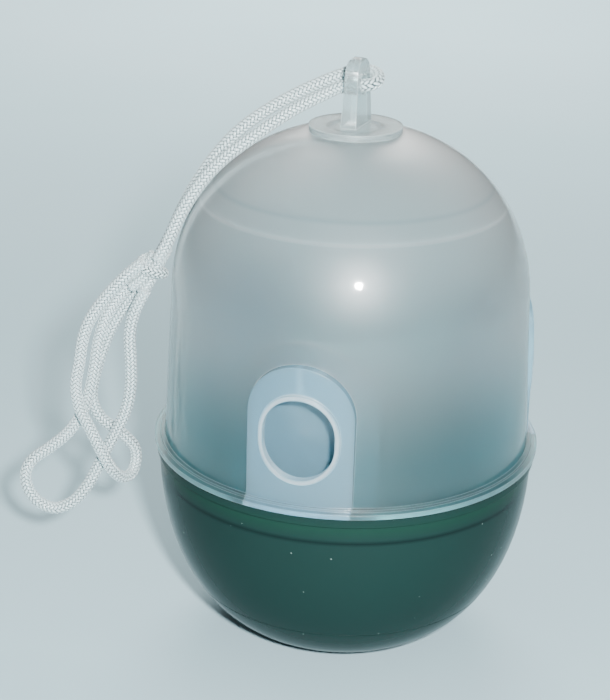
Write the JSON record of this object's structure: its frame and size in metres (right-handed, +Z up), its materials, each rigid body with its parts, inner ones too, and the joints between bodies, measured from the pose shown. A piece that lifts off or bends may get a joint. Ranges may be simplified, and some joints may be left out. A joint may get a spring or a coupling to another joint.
{
  "type": "wasp trap",
  "caption": "Hanging wasp trap: a frosted dome with oval side entrances plugged into a dark green bowl, with a lug on top and a knotted white cord.",
  "frame": {"origin": "centre of the flat foot under the bowl, on the surface that the trap stands on", "axes": "+Z up along the trap's axis; the first entrance faces -Y, turned 14.9 degrees towards -X; the cord hangs on the -X side"},
  "size_m": [0.1689, 0.124, 0.19],
  "materials": {
    "bowl": "dark green glossy polypropylene",
    "dome": "natural polypropylene, frosted and translucent",
    "entrance": "natural polypropylene, bluish and translucent",
    "hanger": "natural polypropylene, translucent",
    "cord": "white braided polypropylene"
  },
  "bodies": {
    "bowl": {"bowl": "bowl"},
    "dome": {"dome": "dome", "entrance_front": "entrance", "entrance_right": "entrance", "entrance_left": "entrance"},
    "hanger": {"hanger": "hanger", "cord_legs": "cord", "cord_long_loop": "cord", "cord_short_loop": "cord", "cord_knot": "cord"}
  },
  "joints": [
    {"name": "dome_lift", "type": "slide", "parent": "bowl", "child": "dome", "axis": [0, 0, 1], "range_m": [0, 0.06]},
    {"name": "hanger_swivel", "type": "hinge", "parent": "dome", "child": "hanger", "pos_m": [0, 0, 0.167], "axis": [0, 0, 1], "continuous": true}
  ]
}
